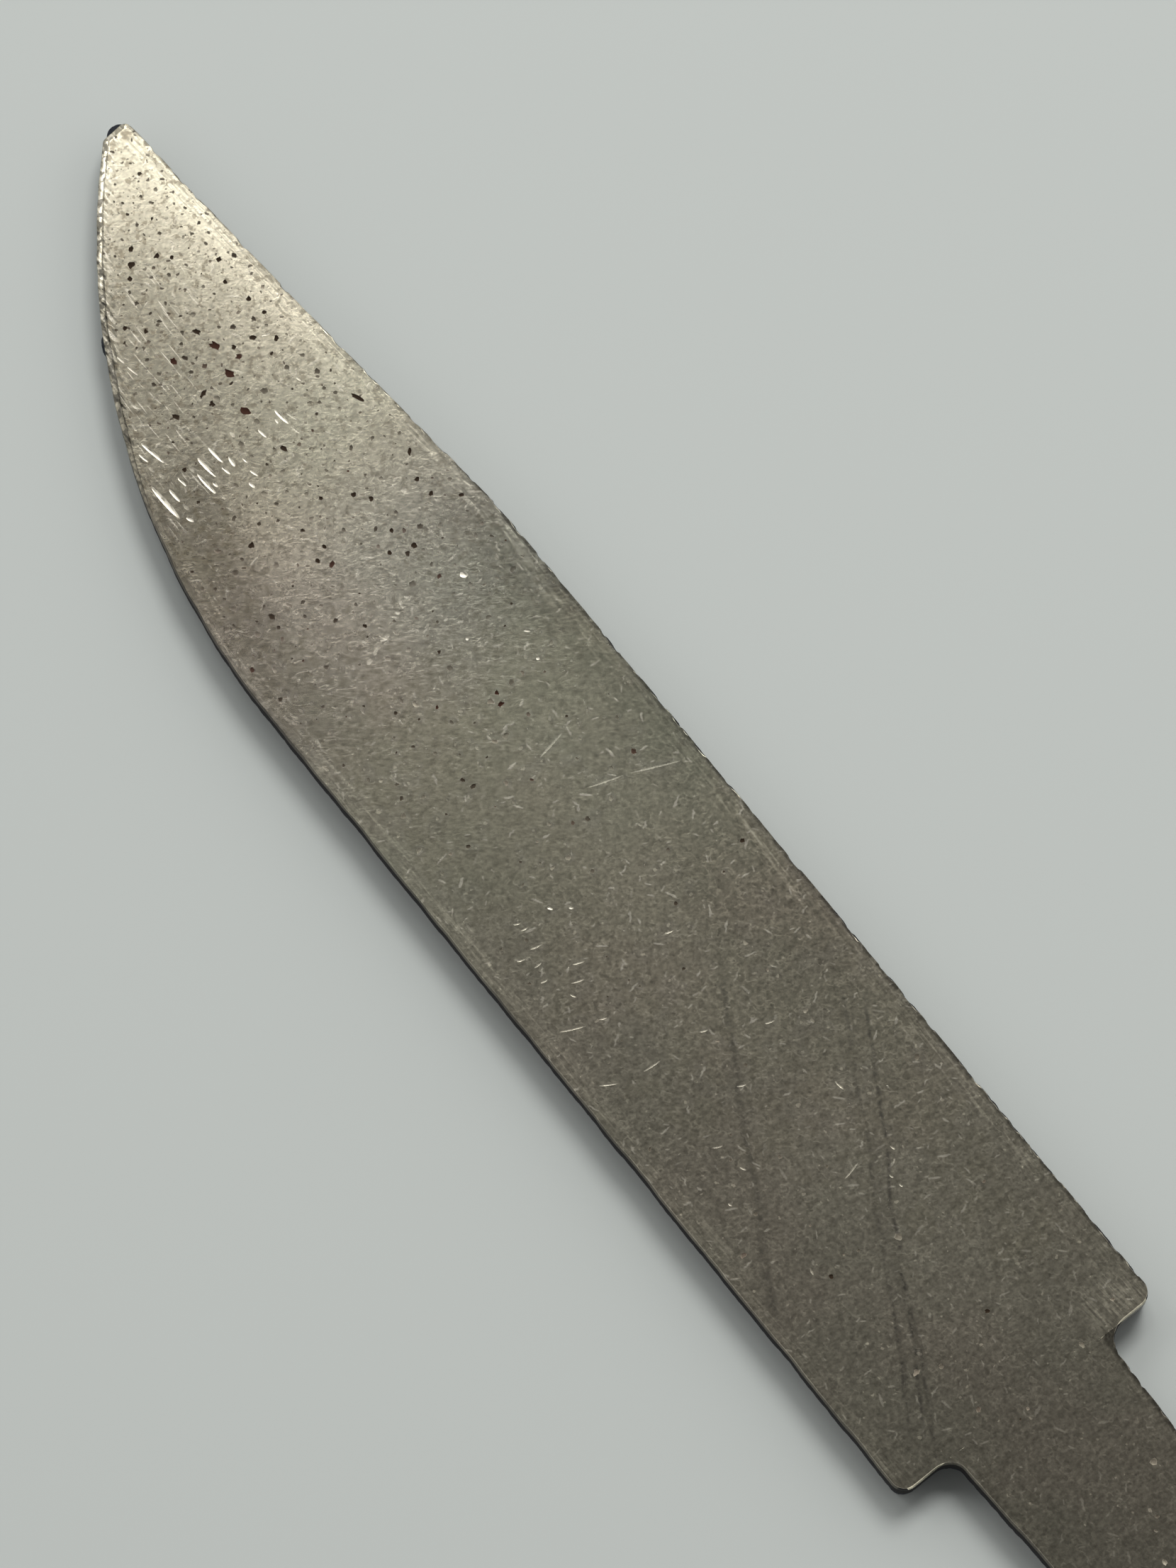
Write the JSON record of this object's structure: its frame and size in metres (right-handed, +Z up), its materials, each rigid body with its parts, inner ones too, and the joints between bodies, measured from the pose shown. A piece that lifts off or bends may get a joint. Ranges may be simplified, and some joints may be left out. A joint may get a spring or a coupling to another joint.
{
  "type": "knife blade blank",
  "caption": "Flat drop-point knife blade blank of sheet steel, with a blunt nose, square shoulders, a long tapering tang and the rolled rim and leaning wall of a blanked edge.",
  "frame": {"origin": "on the underside, in the middle of the line through the shoulders", "axes": "+X along the blade to its nose, +Y across it to the cutting edge, +Z up through the sheet to the face with the rolled rim"},
  "size_m": [0.1914, 0.02, 0.0023],
  "materials": {
    "steel": "tumbled satin with fine short scratches and small dark pits"
  },
  "bodies": {
    "root": {"blade_blank": "steel"}
  },
  "joints": []
}
